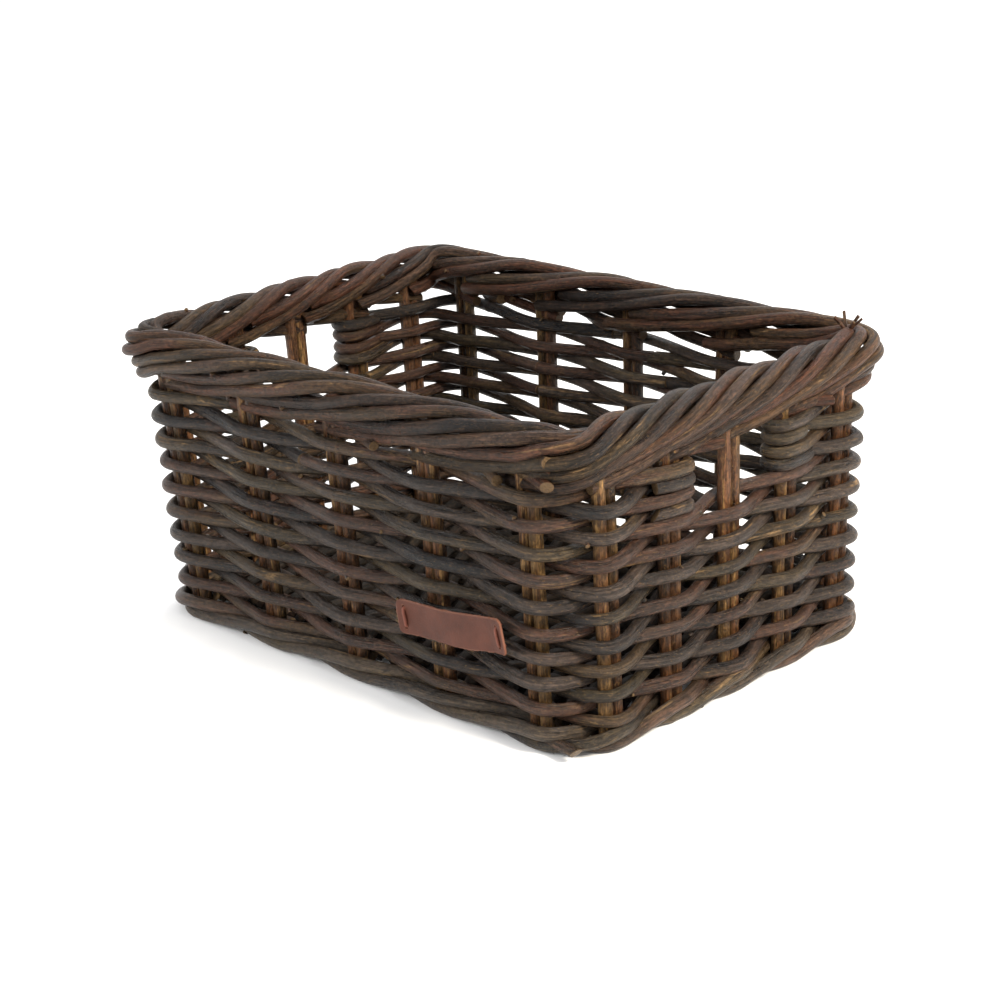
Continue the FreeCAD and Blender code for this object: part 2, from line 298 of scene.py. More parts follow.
# --- materials --------------------------------------------------------------------------------
class Nodes:
    """A small helper that makes and joins shader nodes."""

    def __init__(self, name):
        self.material = bpy.data.materials.new(name)
        self.material.use_nodes = True
        self.tree = self.material.node_tree
        self.tree.nodes.clear()
        self.output = self.tree.nodes.new("ShaderNodeOutputMaterial")
        self.shader = self.tree.nodes.new("ShaderNodeBsdfPrincipled")
        self.tree.links.new(self.shader.outputs[0], self.output.inputs[0])

    def put(self, value, socket):
        if isinstance(value, bpy.types.NodeSocket):
            self.tree.links.new(value, socket)
        elif isinstance(value, (tuple, list)) and len(value) == 3 and socket.type == "RGBA":
            socket.default_value = (*value, 1)
        else:
            socket.default_value = value

    def attribute(self, name, output="Vector"):
        node = self.tree.nodes.new("ShaderNodeAttribute")
        node.attribute_name = name
        return node.outputs[output]

    def split(self, vector):
        node = self.tree.nodes.new("ShaderNodeSeparateXYZ")
        self.put(vector, node.inputs[0])
        return node.outputs

    def math(self, kind, a, b=0.0, c=0.0, clamp=False):
        node = self.tree.nodes.new("ShaderNodeMath")
        node.operation = kind
        node.use_clamp = clamp
        for value, socket in zip((a, b, c), node.inputs):
            self.put(value, socket)
        return node.outputs[0]

    def scaled(self, vector, scale):
        node = self.tree.nodes.new("ShaderNodeVectorMath")
        node.operation = "MULTIPLY"
        self.put(vector, node.inputs[0])
        node.inputs[1].default_value = scale
        return node.outputs[0]

    def noise(self, vector, scale=1.0, detail=3.0, rough=0.55, distortion=0.0):
        node = self.tree.nodes.new("ShaderNodeTexNoise")
        self.put(vector, node.inputs["Vector"])
        node.inputs["Scale"].default_value = scale
        node.inputs["Detail"].default_value = detail
        node.inputs["Roughness"].default_value = rough
        node.inputs["Distortion"].default_value = distortion
        return node.outputs["Fac"]

    def ramp(self, value, *stops):
        node = self.tree.nodes.new("ShaderNodeValToRGB")
        self.put(value, node.inputs[0])
        elements = node.color_ramp.elements
        while len(elements) < len(stops):
            elements.new(0.5)
        for element, (place, colour) in zip(elements, stops):
            element.position = place
            element.color = (*colour, 1) if isinstance(colour, tuple) else (colour, colour, colour, 1)
        return node.outputs[0]

    def mix(self, factor, a, b, kind="MIX"):
        node = self.tree.nodes.new("ShaderNodeMix")
        node.data_type = "RGBA"
        node.blend_type = kind
        self.put(factor, node.inputs["Factor"])
        self.put(a, node.inputs["A"])
        self.put(b, node.inputs["B"])
        return node.outputs[2]

    def bump(self, height, strength, distance, normal=None):
        node = self.tree.nodes.new("ShaderNodeBump")
        node.inputs["Strength"].default_value = strength
        node.inputs["Distance"].default_value = distance
        self.put(height, node.inputs["Height"])
        if normal is not None:
            self.put(normal, node.inputs["Normal"])
        return node.outputs[0]


def rattan(name, dark, middle, warm, olive, pale, peel=0.62, rough=0.34, gloss=0.25):
    """Weathered rattan with bark: patches, blotches, streaks, scars, knuckles and cut ends."""
    n = Nodes(name)
    straight = n.attribute("straight")
    tone = n.split(n.attribute("tone"))
    mark = n.split(n.attribute("mark"))
    patch = n.noise(n.scaled(straight, (22, 110, 110)), detail=6, rough=0.66, distortion=0.6)
    cloud = n.noise(n.scaled(straight, (9, 55, 55)), detail=3)
    second_cloud = n.noise(n.scaled(straight, (-13, 70, 70)), detail=3)
    blotch = n.noise(n.scaled(straight, (260, 560, 560)), detail=5, rough=0.72, distortion=0.4)
    streak = n.noise(n.scaled(straight, (17, 620, 620)), detail=5, rough=0.66)
    fibre = n.noise(n.scaled(straight, (60, 2100, 2100)), detail=3, rough=0.6)
    speck = n.noise(n.scaled(straight, (700, 1100, 1100)), detail=2)

    def mixed(share, *parts):
        """A share, plus each part's distance from its middle times its weight."""
        total = share
        for value, weight in parts:
            total = n.math("ADD", total, n.math("MULTIPLY", n.math("SUBTRACT", value, 0.5), weight))
        return n.math("MULTIPLY", total, 1.0, clamp=True)

    depth = mixed(0.5, (tone[0], 0.7), (patch, 1.9), (blotch, 0.8))
    base = n.ramp(depth, (0.12, dark), (0.48, middle), (0.92, tuple(1.75 * c for c in middle)))
    warmth = n.ramp(mixed(0.5, (tone[1], 1.0), (cloud, 1.7), (blotch, 0.6)), (0.48, 0.0), (0.82, 1.0))
    base = n.mix(n.math("MULTIPLY", warmth, 0.82), base, warm)
    greenness = n.ramp(mixed(0.5, (tone[2], 0.8), (second_cloud, 2.0)), (0.52, 0.0), (0.85, 1.0))
    base = n.mix(n.math("MULTIPLY", greenness, 0.6), base, olive)
    scar_field = n.noise(n.scaled(straight, (17, 110, 110)), detail=6, rough=0.7, distortion=0.8)
    peel_field = n.noise(n.scaled(straight, (-8, 210, 210)), detail=5, rough=0.7, distortion=0.3)
    peeled = (peel, 0.0), (peel + 0.03, 1.0)
    scar = n.math("MAXIMUM", n.ramp(mixed(0.5, (scar_field, 1.0), (tone[2], 0.12)), *peeled),
                  n.ramp(mixed(0.5, (peel_field, 1.0), (tone[0], 0.10)), *peeled))
    base = n.mix(n.math("MULTIPLY", scar, 0.6), base, pale)
    base = n.mix(1.0, base, n.ramp(streak, (0.37, 0.52), (0.63, 1.52)), "MULTIPLY")
    base = n.mix(1.0, base, n.ramp(blotch, (0.40, 0.50), (0.60, 1.52)), "MULTIPLY")
    base = n.mix(1.0, base, n.ramp(fibre, (0.39, 0.58), (0.61, 1.45)), "MULTIPLY")
    spots = n.ramp(speck, (0.61, 0.0), (0.70, 0.75))
    base = n.mix(spots, base, tuple(0.8 * c for c in pale))
    ring = n.ramp(mixed(0.5, (mark[0], 0.75), (blotch, 0.8)), (0.66, 0.0), (0.84, 1.0))
    base = n.mix(n.math("MULTIPLY", ring, 0.5), base, tuple(0.6 * c for c in pale))
    grain = n.noise(n.scaled(straight, (0, 1300, 1300)), detail=3, rough=0.7)
    wood = n.ramp(grain, (0.35, tuple(0.5 * c for c in pale)), (0.65, tuple(1.2 * c for c in pale)))
    base = n.mix(mark[1], base, n.mix(mark[2], n.mix(0.6, base, wood), wood))
    n.put(base, n.shader.inputs["Base Color"])
    roughness = n.math("ADD", mixed(rough, (patch, 0.5), (streak, 0.35)), n.math("MULTIPLY", scar, 0.16),
                       clamp=True)
    n.put(roughness, n.shader.inputs["Roughness"])
    n.shader.inputs["Specular IOR Level"].default_value = gloss
    height = mixed(0.5, (streak, 0.9), (fibre, 0.3), (blotch, 0.8), (patch, 0.5))
    height = n.math("SUBTRACT", height, n.math("MULTIPLY", scar, 0.12))
    n.put(n.bump(height, 0.9, 0.0018), n.shader.inputs["Normal"])
    return n.material


def leather(name, colour, edge, rough=0.55):
    """Reddish leather with a fine grain and a paler raw edge."""
    n = Nodes(name)
    place = n.attribute("straight")
    mark = n.split(n.attribute("mark"))
    cloud = n.noise(place, scale=55, detail=4, rough=0.6)
    pores = n.tree.nodes.new("ShaderNodeTexVoronoi")
    pores.inputs["Scale"].default_value = 1500
    n.put(place, pores.inputs["Vector"])
    pore = pores.outputs["Distance"]
    creases = n.noise(place, scale=420, detail=5, rough=0.7, distortion=0.8)
    base = n.ramp(cloud, (0.3, tuple(0.72 * c for c in colour)), (0.7, tuple(1.2 * c for c in colour)))
    base = n.mix(0.35, base, n.ramp(creases, (0.35, 0.55), (0.65, 1.0)), "MULTIPLY")
    base = n.mix(n.math("MULTIPLY", mark[2], 0.8), base, edge)
    n.put(base, n.shader.inputs["Base Color"])
    n.put(n.math("ADD", rough - 0.1, n.math("MULTIPLY", creases, 0.25)), n.shader.inputs["Roughness"])
    n.shader.inputs["Specular IOR Level"].default_value = 0.2
    height = n.math("ADD", n.math("MULTIPLY", pore, 0.5), creases)
    n.put(n.bump(height, 0.5, 0.0005), n.shader.inputs["Normal"])
    return n.material


WEAVER = rattan("weaver_bark", (0.0042, 0.0037, 0.0042), (0.0190, 0.0130, 0.0098), (0.037, 0.0160, 0.0090),
                (0.034, 0.0235, 0.0095), (0.150, 0.090, 0.038), peel=0.635)
STAKE_BARK = rattan("stake_bark", (0.0115, 0.0055, 0.0030), (0.046, 0.021, 0.0095), (0.072, 0.029, 0.0110),
                    (0.078, 0.046, 0.0140), (0.20, 0.115, 0.042), peel=0.60)
WALE_BARK = rattan("wale_bark", (0.0072, 0.0058, 0.0052), (0.0270, 0.0190, 0.0125), (0.042, 0.0200, 0.0115),
                   (0.044, 0.0310, 0.0135), (0.140, 0.087, 0.040), peel=0.635)
BORDER_BARK = rattan("border_bark", (0.0047, 0.0033, 0.0031), (0.0208, 0.0117, 0.0077),
                     (0.043, 0.0160, 0.0083),
                     (0.030, 0.0190, 0.0078), (0.120, 0.072, 0.033), peel=0.645, gloss=0.16)
# The base's bark is the weaver's recipe made much darker: painted shade for the inside of the basket, where
# the base lies in shade.
BASE_BARK_PAINTED_SHADE = rattan("base_bark_painted_shade", (0.0026, 0.0019, 0.0015), (0.0085, 0.0056, 0.0038), (0.016, 0.0075, 0.0040),
                   (0.014, 0.0090, 0.0040), (0.05, 0.028, 0.012), peel=0.66, rough=0.55)
TAG_LEATHER = leather("tag_leather", (0.074, 0.0240, 0.0145), (0.17, 0.070, 0.042))
THONG_LEATHER = leather("thong_leather", (0.16, 0.052, 0.034), (0.20, 0.085, 0.055))


def rod_tone(rng, light=0.5, spread=0.5, warm=0.5):
    """Brightness, warmth and greenness of one rod, from 0 to 1."""
    return np.array((np.clip(light + spread * rng.uniform(-1, 1), 0, 1),
                     np.clip(warm + 0.55 * rng.uniform(-1, 1), 0, 1), rng.uniform(0, 1), 1.0))


# --- the woven rows -----------------------------------------------------------------------------
def outside(row, pair):
    """+1 where a row passes outside a stake pair, and -1 where it passes inside."""
    return 1 if (row + pair) % 2 else -1


def ease(share):
    """Between a straight ramp and a soft S."""
    return 0.7 * share + 0.3 * share * share * (3 - 2 * share)


def corner_curve(pair, offset_in, offset_out, z_in, z_out, handle=CORNER_HANDLE):
    """From a wall's last stake pair round the corner to the next wall's first pair."""
    wall, _ = pair_place(pair)
    start = spot(pair, offset_in, z_in, PASS_HALF)
    end = spot(pair + 1, offset_out, z_out, -PASS_HALF)
    run_in, run_out = RUN[wall], RUN[(wall + 1) % 4]
    reach_in = (end - start).dot(run_in)
    reach_out = (end - start).dot(run_out)
    first = start + run_in * (reach_in * handle)
    second = end - run_out * (reach_out * handle)
    points = []
    for share in np.linspace(0, 1, 16):
        rest = 1 - share
        point = (start * rest ** 3 + first * (3 * rest ** 2 * share) + second * (3 * rest * share ** 2)
                 + end * share ** 3)
        point[2] = z_in + (z_out - z_in) * share
        points.append(point)
    return points


def woven_line(stops):
    """A line through stops, each a pair, an offset from the stakes and a height."""
    points = []
    for i, (pair, offset, z) in enumerate(stops):
        points += [spot(pair, offset, z, -PASS_HALF), spot(pair, offset, z, PASS_HALF)]
        if i == len(stops) - 1:
            break
        next_pair, next_offset, next_z = stops[i + 1]
        if pair_place(pair)[1] == PAIRS_PER_WALL - 1:
            points += corner_curve(pair, offset, next_offset, z, next_z)
            continue
        wall, _ = pair_place(pair)
        for share in np.linspace(0, 1, 14)[1:-1]:
            start = along_wall(pair, z) + PASS_HALF
            end = along_wall(next_pair, next_z) - PASS_HALF
            points.append(wall_spot(wall, start + (end - start) * share,
                                    offset + (next_offset - offset) * ease(share),
                                    z + (next_z - z) * ease(share)))
    return points


def settle(points, seed, lift=1.6, own=0.8, outwards=0.5):
    """Moves a line a little, as hand-woven rods lie. Neighbours move together."""
    points = resample(points)
    for point in points:
        base = point.copy()
        point[2] += lift * wobble(base, 75, 3.0) + own * wobble(base, 40, seed)
        heading = np.array((base[0], base[1] * 1.5, 0))
        heading /= max(1.0, np.linalg.norm(heading))
        point += heading * (outwards * wobble(base, 35, seed + 50))
    return points


def row_height(row):
    name = "row_%02d" % (row + 1) if row < FULL_ROWS else "row_%02d_front" % (row + 1)
    low, high = box_mm(name)
    return (low[2] + high[2]) / 2


def make_full_row(row):
    rng = np.random.default_rng(1000 + row)
    z = row_height(row)
    first = (row * 3) % PAIRS
    if outside(row, first) > 0:
        first += 1
    stops = [(pair, SWAY * outside(row, pair) * rng.uniform(0.94, 1.06), z + rng.uniform(-0.7, 0.7))
             for pair in range(first, first + PAIRS + 1)]
    points = woven_line(stops)
    points[0] = spot(first, -SWAY, z, 1.5)
    points[-1] = spot(first, -SWAY, z, -1.5)
    tubes = Tubes()
    line = settle(smoothed(points, ROW_SMOOTHING), 10.0 * row + 7)
    # Three lengths of rod follow each other along the row, each joint inside a stake pair.
    joints = [spot(first + 2 * rng.integers(3 + 3 * k, 5 + 3 * k), -SWAY, z) for k in range(2)]
    nearest = [int(np.argmin(np.linalg.norm(line - joint, axis=1))) for joint in joints]
    cuts = [0] + nearest + [len(line) - 1]
    for a, b in zip(cuts[:-1], cuts[1:]):
        tubes.add(line[a:b + 1], ROD * rng.uniform(0.92, 1.13), rng, rod_tone(rng), slant=0.1)
    add_splinters(tubes, line, rng, 4)
    add_stubs(tubes, line, rng, 5)
    tubes.make("row_%02d" % (row + 1), WEAVER, "weaver_rattan")


def make_turned_row(row, first, last, name):
    """A row that stops at the hand holes, hooked round its last stake pair at each end."""
    rng = np.random.default_rng(2000 + row * 2 + (first > 0))
    z = row_height(row)
    stops = [(pair, SWAY * outside(row, pair), z) for pair in range(first, last + 1)]
    points = woven_line(stops)
    for pair, way in ((first, -1), (last, 1)):
        offset = SWAY * outside(row, pair)
        tail = rng.uniform(9, 19)
        hook = []
        for share in np.linspace(0.0, 1.0, 15):
            angle = math.pi * share
            hook.append(spot(pair, offset * math.cos(angle), z,
                             way * (STAKE / 2 + HOOK_CLEARANCE + (SWAY - 0.5) * math.sin(angle))))
        for share in (0.2, 0.4, 0.6, 0.8, 1.0):
            hook.append(spot(pair, -offset * (1 - 0.5 * share), z,
                             -way * (STAKE / 2 + (tail - STAKE / 2) * share)))
        points = hook[::-1] + points[1:] if way < 0 else points[:-1] + hook
    line = settle(smoothed(points, 2.0), 10.0 * row + 3 + first)
    tubes = Tubes()
    half = len(line) // 2 + rng.integers(-12, 12)
    tubes.add(line[:half + 1], ROD * rng.uniform(0.97, 1.12), rng, rod_tone(rng), slant=0.9)
    tubes.add(line[half:], ROD * rng.uniform(0.97, 1.12), rng, rod_tone(rng), slant=0.9)
    add_splinters(tubes, line, rng, 2)
    add_stubs(tubes, line, rng, 2)
    tubes.make(name, WEAVER, "weaver_rattan")


def add_splinters(tubes, line, rng, count):
    """Thin fibres that stand off a rod here and there."""
    for _ in range(count):
        at = int(rng.integers(5, len(line) - 6))
        heading = line[at + 2] - line[at]
        heading /= np.linalg.norm(heading)
        away = np.cross(heading, UP) * rng.choice((-1, 1)) + UP * rng.uniform(-0.6, 0.6)
        start = line[at] + away / np.linalg.norm(away) * (ROD / 2 - 0.5)
        reach = rng.uniform(4, 9)
        hair = [start + heading * reach * s + away * (0.45 * reach * s * s) for s in np.linspace(0, 1, 5)]
        tone = rod_tone(rng, 0.8, 0.2, 0.6)
        tubes.add(np.array(hair), 0.55, rng, tone, knuckles=False, sides=5, pointed=True)


def add_stubs(tubes, line, rng, count):
    """Short stumps of side shoots, cut off close to the rod."""
    for _ in range(count):
        at = int(rng.integers(5, len(line) - 6))
        heading = line[at + 2] - line[at]
        heading /= np.linalg.norm(heading)
        across = np.cross(heading, UP)
        across /= np.linalg.norm(across)
        angle = rng.uniform(0, 2 * math.pi)
        away = across * math.cos(angle) + np.cross(heading, across) * math.sin(angle)
        root = line[at] + away * (ROD / 2 - 1.6)
        tip = line[at] + away * (ROD / 2 + rng.uniform(0.5, 1.6)) + heading * rng.uniform(0.6, 2.0)
        tubes.add(resample([root, tip], 0.8), rng.uniform(2.2, 4.0), rng, rod_tone(rng, 0.6), knuckles=False,
                  sides=9, slant=0.5, fresh=0.5)


def add_cut_end(tubes, tip, heading, rng, diameter=0.88 * ROD):
    """The trimmed end of a rod that comes out between its neighbours."""
    heading = heading / np.linalg.norm(heading)
    bend = np.cross(heading, UP) * 1.5
    line = resample([tip - heading * 26 + bend * 2, tip - heading * 13 + bend * 0.4, tip])
    tubes.add(smoothed(line, 2.0), diameter, rng, rod_tone(rng, 0.6), knuckles=False, slant=1.0, fresh=0.7)


def add_twigs(tubes, root, rng, count):
    """A tuft of thin side shoots left on a rod."""
    for _ in range(count):
        away = np.array((rng.uniform(-0.7, 1.0), rng.uniform(-0.9, 0.9), 1.0))
        reach = rng.uniform(5, 11)
        bend = np.array((rng.uniform(-1, 1), rng.uniform(-1, 1), 0)) * 2.5
        line = [root + away * reach * s + bend * s * s for s in np.linspace(0, 1, 7)]
        tubes.add(np.array(line), rng.uniform(1.5, 2.4), rng, rod_tone(rng, 0.9, 0.1, 1.0), knuckles=False,
                  sides=7, fresh=0.5)


# --- stakes ---------------------------------------------------------------------------------------
def make_stakes(pair):
    rng = np.random.default_rng(3000 + pair)
    wall, place = pair_place(pair)
    name = "stakes_%s_%d" % (WALL_NAMES[wall], place + 1)
    tubes = Tubes()
    for side in (-1, 1):
        seed = rng.uniform(0, 500)
        points = []
        for z in np.arange(FOOT_Z + 1, TOP_Z + 0.5, 3.0):
            shift = side * STAKE / 2 * 0.99 + 0.35 * wobble((z, 0, 0), 60, seed)
            points.append(spot(pair, 0.3 * wobble((z, 9, 0), 50, seed), z, shift))
        tone = rod_tone(rng, 0.5, 0.5, 0.55)
        tubes.add(resample(points, 3.0), STAKE * rng.uniform(0.94, 0.99), rng, tone, taper=0.03)
    tubes.make(name, STAKE_BARK, "stake_rattan")


# --- foot wale ------------------------------------------------------------------------------------
def make_foot_wale(wall):
    low, high = box_mm("foot_wale_" + WALL_NAMES[wall])
    lower, upper = low[2] + ROD / 2, high[2] - ROD / 2
    tubes = Tubes()
    for i in range(PAIRS_PER_WALL):
        pair = wall * PAIRS_PER_WALL + i - 1
        rng = np.random.default_rng(4000 + pair)
        stops = [(pair, -SWAY, lower), (pair + 1, SWAY * 0.6, lower),
                 (pair + 2, SWAY * 1.0, upper), (pair + 3, -SWAY, upper)]
        thick = ROD * rng.uniform(1.04, 1.16)
        line = settle(smoothed(woven_line(stops), 4.0), 60.0 + pair, lift=0.0, own=0.5)
        line[:, 2] = np.maximum(line[:, 2], thick / 2 + 0.15)
        tubes.add(line, thick, rng, rod_tone(rng, 0.55, 0.45, 0.45))
        add_splinters(tubes, line, rng, 2)
        add_stubs(tubes, line, rng, 1)
    if wall == 0:
        half_x, half_y = half_sizes(lower)
        tip = RUN[0] * (half_x + 1) + OUT[0] * (half_y + 6) + UP * (lower + 4)
        add_cut_end(tubes, tip, RUN[0] + OUT[0] * 0.2, np.random.default_rng(4900))
    tubes.make("foot_wale_" + WALL_NAMES[wall], WALE_BARK, "wale_rattan")


# --- border ---------------------------------------------------------------------------------------
_low, _high = box_mm("border_front")
BORDER_LOW = _low[2] + ROD / 2
BORDER_TOP = _high[2] - ROD / 2
BORDER_SPRING = BORDER_TOP - BORDER_HALF_WIDTH
BORDER_BEND = 9.0          # corner radius of the border's centre line
BORDER_INSET = 3.0         # the border's mid-plane, in from where the CAD part has it
BORDER_TUCK = 5.0          # how much closer to the wall its lowest rods lie
RANK_APART = 3.8           # half the way between the two rods of a stroke
STROKE_STEP = 0.03         # between points of a stroke, in stake spacings
BORDER_SMOOTHING = 4.5
PAIRS_AHEAD = 8            # stake pairs past the last one that a stroke may reach
BORDER_HALF_X = cad_high[0] / MM - BORDER_HALF_WIDTH - ROD / 2 - BORDER_INSET
BORDER_HALF_Y = cad_high[1] / MM - BORDER_HALF_WIDTH - ROD / 2 - BORDER_INSET
STRAIGHT = (2 * (BORDER_HALF_X - BORDER_BEND), 2 * (BORDER_HALF_Y - BORDER_BEND))
QUARTER = BORDER_BEND * math.pi / 2
ROUND = 2 * (STRAIGHT[0] + STRAIGHT[1]) + 4 * QUARTER


def border_line(distance):
    """Plan position and outward direction on the border's centre line, a rounded rectangle."""
    left = distance % ROUND
    for wall in range(4):
        straight = STRAIGHT[wall % 2]
        side = BORDER_HALF_Y if wall % 2 == 0 else BORDER_HALF_X
        if left <= straight:
            return RUN[wall] * (left - straight / 2) + OUT[wall] * side, OUT[wall]
        left -= straight
        if left <= QUARTER:
            angle = left / BORDER_BEND
            heading = OUT[wall] * math.cos(angle) + RUN[wall] * math.sin(angle)
            centre = RUN[wall] * (straight / 2) + OUT[wall] * (side - BORDER_BEND)
            return centre + heading * BORDER_BEND, heading
        left -= QUARTER
    return border_line(0.0)


def pair_distance(pair):
    """Where a stake pair stands along the border's centre line."""
    lap, pair_in = divmod(pair, PAIRS)
    wall, place = pair_place(pair_in)
    start = sum(STRAIGHT[w % 2] + QUARTER for w in range(wall))
    return lap * ROUND + start + STRAIGHT[wall % 2] / 2 + along_wall(pair_in, BORDER_SPRING)


PAIR_DISTANCES = [pair_distance(pair) for pair in range(-1, PAIRS + PAIRS_AHEAD)]


def border_section(way, proud=0.0):
    """Offset and height a distance up the outside, over the top and down the inside."""
    side = BORDER_SPRING - BORDER_LOW
    arch = math.pi * BORDER_HALF_WIDTH
    reach = BORDER_HALF_WIDTH + proud
    if way <= side:
        return reach - BORDER_TUCK * (1 - way / side), BORDER_LOW + way
    if way >= side + arch:
        return -reach, BORDER_SPRING - (way - side - arch)
    angle = (way - side) / BORDER_HALF_WIDTH
    return reach * math.cos(angle), BORDER_SPRING + reach * math.sin(angle)


SECTION = 2 * (BORDER_SPRING - BORDER_LOW) + math.pi * BORDER_HALF_WIDTH
# Stake spacings from a border rod's start, and the share of the section reached there.
CLIMB_AT = (-0.25, 0.50, 2.30, 3.10, 4.2)
CLIMB_TO = (0.0, 0.08, 0.49, 0.71, 0.92)
# How far a border rod stands off its course there: under, over, at the crest, and under again.
PROUD_AT = (-0.3, 0.5, 1.4, 2.2, 2.9, 4.2)
PROUD_BY = (-3.0, -1.4, 1.5, 1.9, -1.4, -3.0)


def border_stroke(pair, rank, rng):
    """One of the two rods that start beside a stake pair: outside low, over the top, inside low."""
    points = []
    start = -0.25 + 0.08 * rank + rng.uniform(-0.06, 0.06)
    reach = 4.15 - 0.25 * rank + rng.uniform(-0.25, 0.1)
    seed = rng.uniform(0, 400)
    for spacing in np.arange(start, reach, STROKE_STEP):
        share = np.interp(spacing, CLIMB_AT, CLIMB_TO)
        way = share * SECTION + (RANK_APART if rank == 0 else -RANK_APART)
        offset, z = border_section(way, np.interp(spacing, PROUD_AT, PROUD_BY))
        offset *= 1 - 1.3 * max(0.0, (0.15 - spacing) / 0.45) ** 1.2
        offset *= 1 - 0.7 * max(0.0, (spacing - reach + 0.3) / 0.3) ** 1.2
        distance = np.interp(pair + spacing, range(-1, PAIRS + PAIRS_AHEAD), PAIR_DISTANCES)
        place, heading = border_line(distance)
        point = place + heading * offset + UP * z
        point += UP * (0.6 * wobble(point, 45, seed)) + heading * (0.6 * wobble(point, 40, seed + 9))
        points.append(point)
    return smoothed(points, BORDER_SMOOTHING)


def make_border(wall):
    tubes = Tubes()
    rng = np.random.default_rng(5900 + wall)
    face = (BORDER_HALF_Y if wall % 2 == 0 else BORDER_HALF_X) + BORDER_HALF_WIDTH
    reach = BORDER_HALF_X if wall % 2 == 0 else BORDER_HALF_Y
    # Trimmed ends show low on the outside, and two more where the weaver finished the front.
    places = [(reach - 46, BORDER_LOW - 1, -0.1), (reach - 150, BORDER_LOW - 1, 0.05)]
    if wall == 0:
        places += [(reach - 2, BORDER_SPRING + 2, 0.15), (reach - 3, BORDER_LOW + 5, 0.0)]
    for along, z, rise in places:
        tip = RUN[wall] * along + OUT[wall] * (face + 2.5 - (3.5 if z < BORDER_LOW else 0)) + UP * z
        add_cut_end(tubes, tip, RUN[wall] * 0.85 + OUT[wall] * 0.45 + UP * rise, rng)
    if wall == 1:
        root = RUN[1] * (BORDER_HALF_Y - 12) + OUT[1] * (BORDER_HALF_X - 3) + UP * (BORDER_TOP + 2)
        add_twigs(tubes, root, rng, 6)
    for i in range(PAIRS_PER_WALL):
        pair = wall * PAIRS_PER_WALL + i
        for rank in range(2):
            rng = np.random.default_rng(5000 + 2 * pair + rank)
            line = border_stroke(pair, rank, rng)
            tubes.add(line, ROD * rng.uniform(0.98, 1.10), rng, rod_tone(rng, 0.55, 0.5, 0.55), taper=0.14,
                      slant=0.5)
            add_splinters(tubes, line, rng, 1)
            add_stubs(tubes, line, rng, 1)
    tubes.make("border_" + WALL_NAMES[wall], BORDER_BARK, "border_rattan")


# --- base -----------------------------------------------------------------------------------------
BASE_STICKS = 7
BASE_RODS = 43             # across the sticks


def make_base():
    low, high = box_mm("base_sticks")
    height = (low[2] + high[2]) / 2
    spacing = (high[1] - low[1] - STAKE) / (BASE_STICKS - 1)
    tubes = Tubes()
    for i in range(BASE_STICKS):
        rng = np.random.default_rng(6000 + i)
        y = low[1] + STAKE / 2 + i * spacing
        points = [np.array((x, y + 0.6 * wobble((x, y, 0), 90, 5), height)) for x in
                  np.arange(low[0] + 0.5, high[0] - 0.5, 4.0)]
        tubes.add(resample(points, 4.0), STAKE * 0.97, rng, rod_tone(rng, 0.5, 0.4, 0.4), slant=0.05)
    tubes.make("base_sticks", BASE_BARK_PAINTED_SHADE, "base_rattan")
    for node, first in (("base_rods_odd", 0), ("base_rods_even", 1)):
        rod_low, rod_high = box_mm(node)
        sway = (rod_high[2] - rod_low[2] - ROD) / 2 - 0.35
        odd_low, odd_high = box_mm("base_rods_odd")
        pitch = (odd_high[0] - odd_low[0] - ROD) / (BASE_RODS - 1)
        tubes = Tubes()
        for number in range(first, BASE_RODS, 2):
            rng = np.random.default_rng(6100 + number)
            x = (number - (BASE_RODS - 1) / 2) * pitch
            points = []
            for y in np.arange(rod_low[1] + 0.3, rod_high[1] - 0.2, 2.0):
                place = y / spacing + (BASE_STICKS - 1) / 2
                phase = math.cos(math.pi * (place + number + 1))
                swing = math.copysign(abs(phase) ** 0.75, phase)
                aside = x + 0.5 * wobble((y, number * 9, 0), 50, 2)
                points.append(np.array((aside, y, height + sway * swing)))
            line = smoothed(points, 4.0)
            tubes.add(line, ROD * rng.uniform(0.93, 0.99), rng, rod_tone(rng, 0.5, 0.45, 0.4), slant=0.05)
        tubes.make(node, BASE_BARK_PAINTED_SHADE, "base_rattan")


# --- leather tag ------------------------------------------------------------------------------------
TAG_LENGTH = 96.0
TAG_HEIGHT = 22.0
TAG_THICK = 2.4
TAG_TILT = math.radians(6.8)
TAG_CORNER = 4.0
STITCH_INSET = 6.0
STITCH_REACH = 6.5
STITCH_HOLE = 2.4
HOLE_SIDES = 16
THONG = 1.9                # thickness of a thong


def tag_place(x, y, z):
    """From the tag's own coordinates, along, up and outwards, to the basket's."""
    low, high = box_mm("leather_tag")
    lean = (TOP_HALF_Y - FOOT_HALF_Y) / (TOP_Z - FOOT_Z)
    slope = np.array((0, -lean, 1.0)) / math.hypot(lean, 1)
    out = np.array((0, -1.0, -lean)) / math.hypot(lean, 1)
    along = RUN[0] * math.cos(TAG_TILT) + slope * math.sin(TAG_TILT)
    up = slope * math.cos(TAG_TILT) - RUN[0] * math.sin(TAG_TILT)
    wave = 1.0 * math.sin(x / 16 + 0.6) + 0.6 * math.sin(x / 9.5 + 2 + y / 14)
    curl = 3.6 * max(0.0, (x - 32) / 15) ** 2 + 1.0 * max(0.0, (-x - 40) / 8) ** 2
    sag = 0.8 - 1.6 * math.cos(x / TAG_LENGTH * 3)
    return (low + high) / 2 + along * x + up * (y + sag) + out * (z + wave + curl + 0.5)


